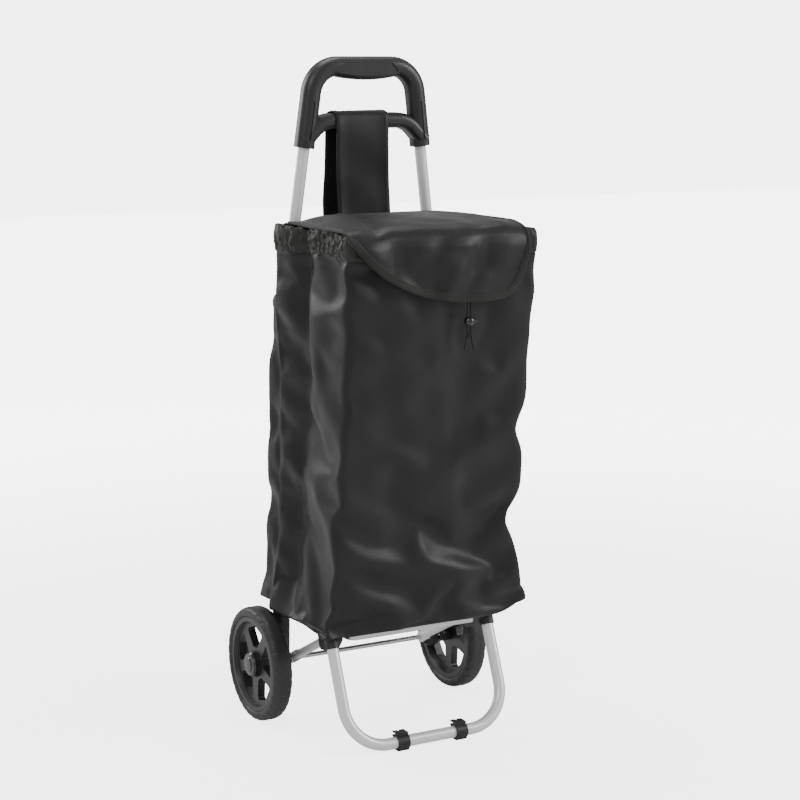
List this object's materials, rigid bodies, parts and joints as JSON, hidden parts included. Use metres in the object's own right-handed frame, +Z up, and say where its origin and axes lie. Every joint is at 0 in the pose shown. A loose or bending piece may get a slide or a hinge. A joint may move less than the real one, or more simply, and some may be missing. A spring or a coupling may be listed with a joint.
{
  "type": "folding shopping trolley with bag",
  "caption": "Two-wheeled shopping trolley: silver tube frame with foot and platform, black handle, tall black fabric bag with lid, drawcord and rear zip pocket.",
  "frame": {"origin": "middle of the object's footprint box, on the floor", "axes": "+Z up, -Y front (the bag's face and the foot), +X to the right when looking at the front; the axle runs along X"},
  "size_m": [0.348, 0.3166, 0.9142],
  "materials": {
    "silver_tube": "silver powder coat, slightly metallic",
    "silver_bar": "silver powder coat on flat bar",
    "bright_steel": "bright zinc-plated steel",
    "handle_plastic": "satin black polypropylene",
    "tyre_rubber": "black EVA tyre, fine tread",
    "rim_plastic": "satin black moulded rim",
    "cap_plastic": "glossy black cap",
    "bracket_plastic": "matt black moulded bracket",
    "bag_nylon": "black woven nylon with a slight sheen",
    "hem_nylon": "gathered black nylon hem",
    "strap_nylon": "doubled black nylon strap",
    "board_plastic": "black board",
    "binding_tape": "black woven tape",
    "hook_loop": "black hook and loop tape",
    "zip_black": "black coated zip parts",
    "cord_black": "black braided cord",
    "lock_plastic": "black moulded cord lock"
  },
  "bodies": {
    "frame": {"frame_tube_left": "silver_tube", "frame_tube_right": "silver_tube", "handle_grip": "handle_plastic", "handle_screws": "bright_steel", "wheel_bracket_left": "bracket_plastic", "wheel_bracket_right": "bracket_plastic", "axle": "bright_steel", "axle_washers": "bright_steel", "axle_nuts": "bright_steel", "strut_left": "silver_tube", "strut_right": "silver_tube", "strut_rivets": "bright_steel", "foot_tube": "silver_tube", "foot_bracket_left": "bracket_plastic", "foot_bracket_right": "bracket_plastic", "platform_frame": "silver_bar", "platform_rivets": "bright_steel", "clip_left": "bracket_plastic", "clip_right": "bracket_plastic", "bag_shell": "bag_nylon", "bag_hem": "hem_nylon", "bag_base_board": "board_plastic", "back_panel": "bag_nylon", "zip_tape": "binding_tape", "zip_teeth": "zip_black", "hook_patch": "hook_loop", "strap": "strap_nylon", "drawcord": "cord_black", "cord_knot": "cord_black"},
    "wheel_left": {"rim_left": "rim_plastic", "tyre_left": "tyre_rubber", "hub_cap_left": "cap_plastic"},
    "wheel_right": {"rim_right": "rim_plastic", "tyre_right": "tyre_rubber", "hub_cap_right": "cap_plastic"},
    "lid": {"lid": "bag_nylon", "lid_binding": "binding_tape"},
    "zip_slider": {"zip_slider": "zip_black"},
    "zip_pull": {"zip_pull": "zip_black"},
    "cord_lock": {"cord_lock": "lock_plastic"},
    "lock_button": {"lock_button": "lock_plastic"}
  },
  "joints": [
    {"name": "wheel_left_spin", "type": "hinge", "parent": "frame", "child": "wheel_left", "pos_m": [-0.155, 0.0784, 0.08], "axis": [1, 0, 0], "continuous": true},
    {"name": "wheel_right_spin", "type": "hinge", "parent": "frame", "child": "wheel_right", "pos_m": [0.155, 0.0784, 0.08], "axis": [1, 0, 0], "continuous": true},
    {"name": "lid_open", "type": "hinge", "parent": "frame", "child": "lid", "pos_m": [0, 0.0384, 0.698], "axis": [-1, 0, 0], "range_deg": [0, 85]},
    {"name": "zip_slide", "type": "slide", "parent": "frame", "child": "zip_slider", "axis": [-1, 0, 0], "range_m": [0, 0.148]},
    {"name": "zip_pull_swing", "type": "hinge", "parent": "zip_slider", "child": "zip_pull", "pos_m": [0.074, 0.08428, 0.53528], "axis": [1, 0, 0], "range_deg": [0, 150]},
    {"name": "cord_lock_slide", "type": "slide", "parent": "frame", "child": "cord_lock", "axis": [0, 0, 1], "range_m": [-0.003, 0.014]},
    {"name": "lock_button_press", "type": "slide", "parent": "cord_lock", "child": "lock_button", "axis": [-1, 0, 0], "range_m": [0, 0.0013], "stiffness_N_per_m": 400, "springref_m": -0.001}
  ]
}
